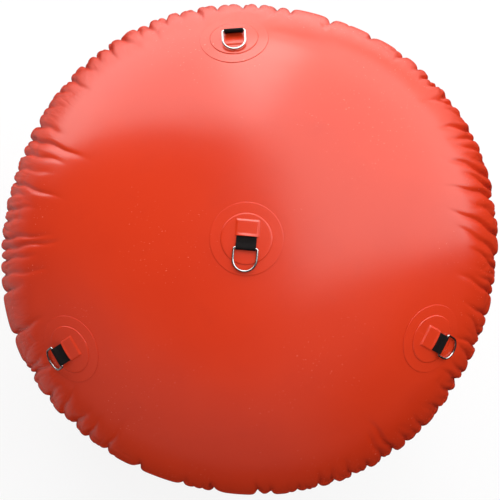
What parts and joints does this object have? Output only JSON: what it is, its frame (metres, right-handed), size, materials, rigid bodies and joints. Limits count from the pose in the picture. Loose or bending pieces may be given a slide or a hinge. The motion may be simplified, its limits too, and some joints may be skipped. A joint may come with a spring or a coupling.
{
  "type": "signal buoy",
  "caption": "Inflatable drum-shaped signal buoy of coated fabric, with webbing D-ring fittings on one domed end for mooring or lifting.",
  "frame": {"origin": "middle of the footprint, on the surface that the plain end stands on", "axes": "+Z along the drum's axis, from the plain end to the end with the rings"},
  "size_m": [1.0998, 1.1, 1.2586],
  "materials": {
    "pvc": "gloss",
    "weld_tape": "gloss",
    "webbing": "woven",
    "steel": "polished",
    "valve_plastic": "satin",
    "cap_plastic": "satin"
  },
  "bodies": {
    "buoy": {"ring_end_panel": "pvc", "plain_end_panel": "pvc", "side_wall": "pvc", "ring_end_rim_tape": "weld_tape", "plain_end_rim_tape": "weld_tape", "side_wall_lap": "weld_tape", "valve_patch": "weld_tape", "valve_body": "valve_plastic", "centre_base_patch": "weld_tape", "centre_upper_patch": "weld_tape", "centre_webbing": "webbing", "left_base_patch": "weld_tape", "left_upper_patch": "weld_tape", "left_webbing": "webbing", "right_base_patch": "weld_tape", "right_upper_patch": "weld_tape", "right_webbing": "webbing", "far_base_patch": "weld_tape", "far_upper_patch": "weld_tape", "far_webbing": "webbing"},
    "centre_ring": {"centre_ring": "steel"},
    "left_ring": {"left_ring": "steel"},
    "right_ring": {"right_ring": "steel"},
    "far_ring": {"far_ring": "steel"},
    "valve_cap": {"valve_cap": "cap_plastic"}
  },
  "joints": [
    {"name": "centre_ring_swing", "type": "hinge", "parent": "buoy", "child": "centre_ring", "pos_m": [-0.00156, -0.01781, 1.25485], "axis": [-0.9962, 0.0872, 0], "range_deg": [0, 160]},
    {"name": "left_ring_swing", "type": "hinge", "parent": "buoy", "child": "left_ring", "pos_m": [-0.37401, -0.2274, 1.16491], "axis": [-0.5195, 0.8545, 0], "range_deg": [0, 160]},
    {"name": "right_ring_swing", "type": "hinge", "parent": "buoy", "child": "right_ring", "pos_m": [0.38477, -0.20373, 1.15713], "axis": [-0.4679, -0.8838, 0], "range_deg": [0, 160]},
    {"name": "far_ring_swing", "type": "hinge", "parent": "buoy", "child": "far_ring", "pos_m": [-0.02704, 0.41814, 1.18106], "axis": [-0.9979, -0.0645, 0], "range_deg": [0, 160]},
    {"name": "valve_cap_turn", "type": "hinge", "parent": "buoy", "child": "valve_cap", "pos_m": [-0.26243, 0.49357, 0.83051], "axis": [-0.4695, 0.8829, 0], "range_deg": [0, 90]}
  ]
}
